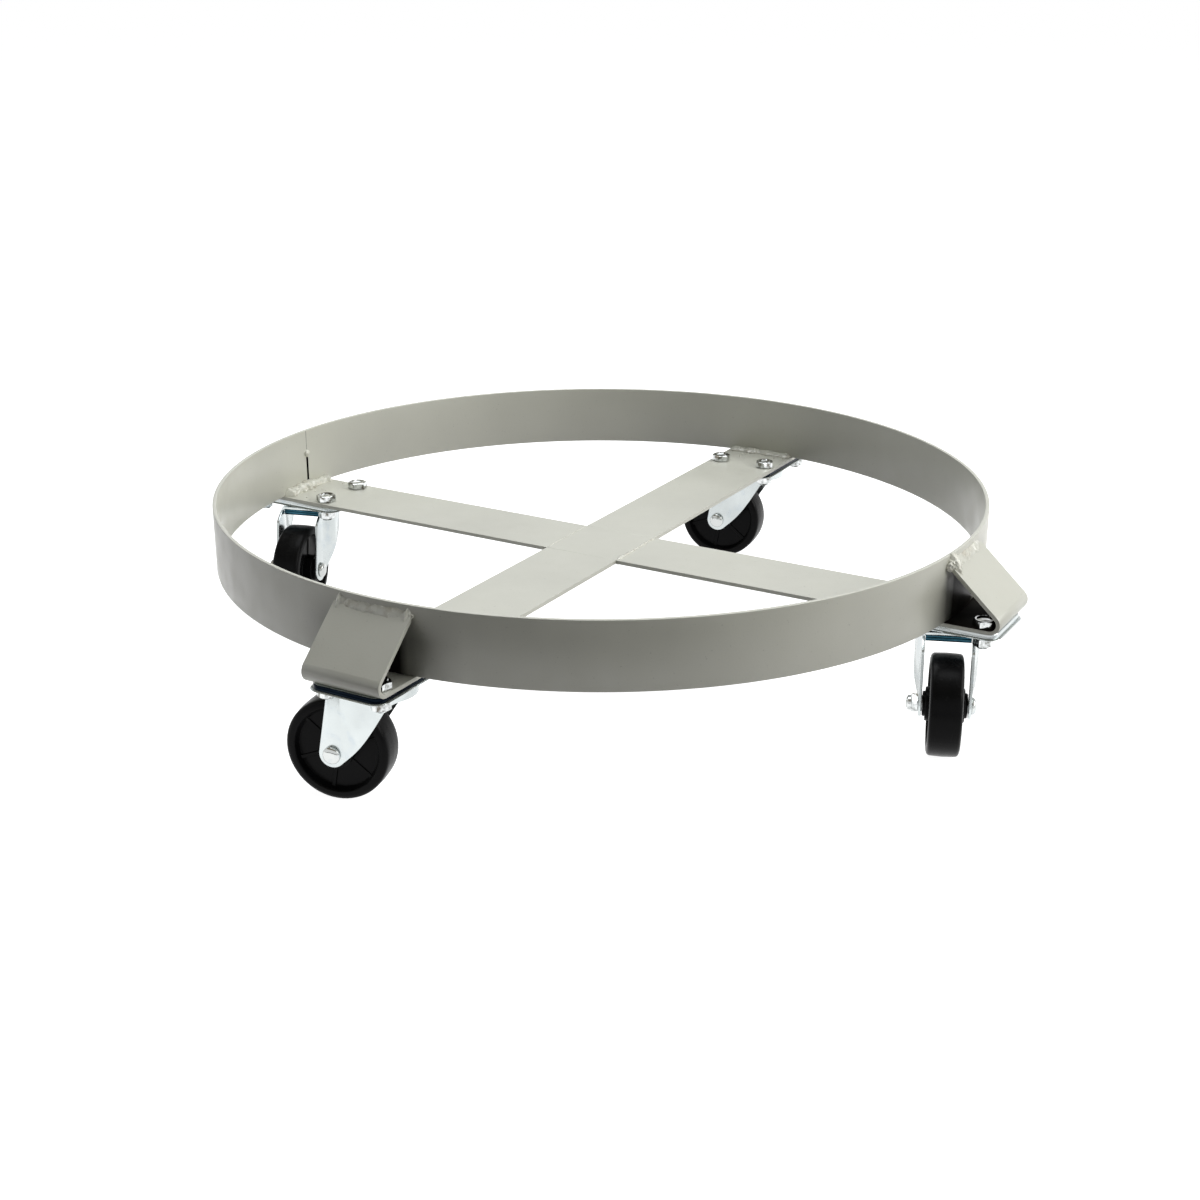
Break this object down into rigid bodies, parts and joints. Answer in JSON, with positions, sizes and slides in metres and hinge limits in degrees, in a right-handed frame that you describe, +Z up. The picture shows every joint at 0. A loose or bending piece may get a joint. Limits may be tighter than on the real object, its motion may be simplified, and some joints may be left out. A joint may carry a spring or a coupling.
{
  "type": "drum dolly",
  "caption": "Low round drum dolly: a rolled steel ring welded on a flat-bar cross with folded corner gussets, on swivel casters bolted under the arms.",
  "frame": {"origin": "on the floor under the centre of the ring", "axes": "+Z up; +X right and +Y back, with the arms of the cross on the diagonals between them"},
  "size_m": [0.6096, 0.6096, 0.1524],
  "materials": {
    "paint": "satin warm grey paint over welded steel strip",
    "zinc": "bright zinc plate with a faint blue tint",
    "sleeve": "plain turned steel",
    "wheel": "black moulded hard plastic with a soft sheen"
  },
  "bodies": {
    "frame": {"ring_band": "paint", "cross_bar_long": "paint", "cross_bar_half_bl": "paint", "cross_bar_half_fr": "paint", "caster_plate_fl": "zinc", "kingpin_fl": "zinc", "ball_race_fl": "zinc", "mount_bolt_fl_1": "zinc", "mount_bolt_fl_2": "zinc", "mount_bolt_fl_3": "zinc", "mount_bolt_fl_4": "zinc", "caster_plate_fr": "zinc", "kingpin_fr": "zinc", "ball_race_fr": "zinc", "mount_bolt_fr_1": "zinc", "mount_bolt_fr_2": "zinc", "mount_bolt_fr_3": "zinc", "mount_bolt_fr_4": "zinc", "caster_plate_br": "zinc", "kingpin_br": "zinc", "ball_race_br": "zinc", "mount_bolt_br_1": "zinc", "mount_bolt_br_2": "zinc", "mount_bolt_br_3": "zinc", "mount_bolt_br_4": "zinc", "caster_plate_bl": "zinc", "kingpin_bl": "zinc", "ball_race_bl": "zinc", "mount_bolt_bl_1": "zinc", "mount_bolt_bl_2": "zinc", "mount_bolt_bl_3": "zinc", "mount_bolt_bl_4": "zinc"},
    "swivel_fl": {"fork_fl": "zinc", "axle_bolt_fl": "zinc", "axle_nut_fl": "zinc", "wheel_sleeve_fl": "sleeve"},
    "wheel_fl": {"wheel_fl": "wheel"},
    "swivel_fr": {"fork_fr": "zinc", "axle_bolt_fr": "zinc", "axle_nut_fr": "zinc", "wheel_sleeve_fr": "sleeve"},
    "wheel_fr": {"wheel_fr": "wheel"},
    "swivel_br": {"fork_br": "zinc", "axle_bolt_br": "zinc", "axle_nut_br": "zinc", "wheel_sleeve_br": "sleeve"},
    "wheel_br": {"wheel_br": "wheel"},
    "swivel_bl": {"fork_bl": "zinc", "axle_bolt_bl": "zinc", "axle_nut_bl": "zinc", "wheel_sleeve_bl": "sleeve"},
    "wheel_bl": {"wheel_bl": "wheel"}
  },
  "joints": [
    {"name": "swivel_fl_turn", "type": "hinge", "parent": "frame", "child": "swivel_fl", "pos_m": [-0.20895, -0.20895, 0.09], "axis": [0, 0, 1], "continuous": true},
    {"name": "wheel_fl_spin", "type": "hinge", "parent": "swivel_fl", "child": "wheel_fl", "pos_m": [-0.23753, -0.19245, 0.0381], "axis": [-0.5, -0.866, 0], "continuous": true},
    {"name": "swivel_fr_turn", "type": "hinge", "parent": "frame", "child": "swivel_fr", "pos_m": [0.20895, -0.20895, 0.09], "axis": [0, 0, 1], "continuous": true},
    {"name": "wheel_fr_spin", "type": "hinge", "parent": "swivel_fr", "child": "wheel_fr", "pos_m": [0.19553, -0.2391, 0.0381], "axis": [0.9135, -0.4067, 0], "continuous": true},
    {"name": "swivel_br_turn", "type": "hinge", "parent": "frame", "child": "swivel_br", "pos_m": [0.20895, 0.20895, 0.09], "axis": [0, 0, 1], "continuous": true},
    {"name": "wheel_br_spin", "type": "hinge", "parent": "swivel_br", "child": "wheel_br", "pos_m": [0.1826, 0.22881, 0.0381], "axis": [-0.6018, -0.7986, 0], "continuous": true},
    {"name": "swivel_bl_turn", "type": "hinge", "parent": "frame", "child": "swivel_bl", "pos_m": [-0.20895, 0.20895, 0.09], "axis": [0, 0, 1], "continuous": true},
    {"name": "wheel_bl_spin", "type": "hinge", "parent": "swivel_bl", "child": "wheel_bl", "pos_m": [-0.22495, 0.18009, 0.0381], "axis": [0.8746, -0.4848, 0], "continuous": true}
  ]
}
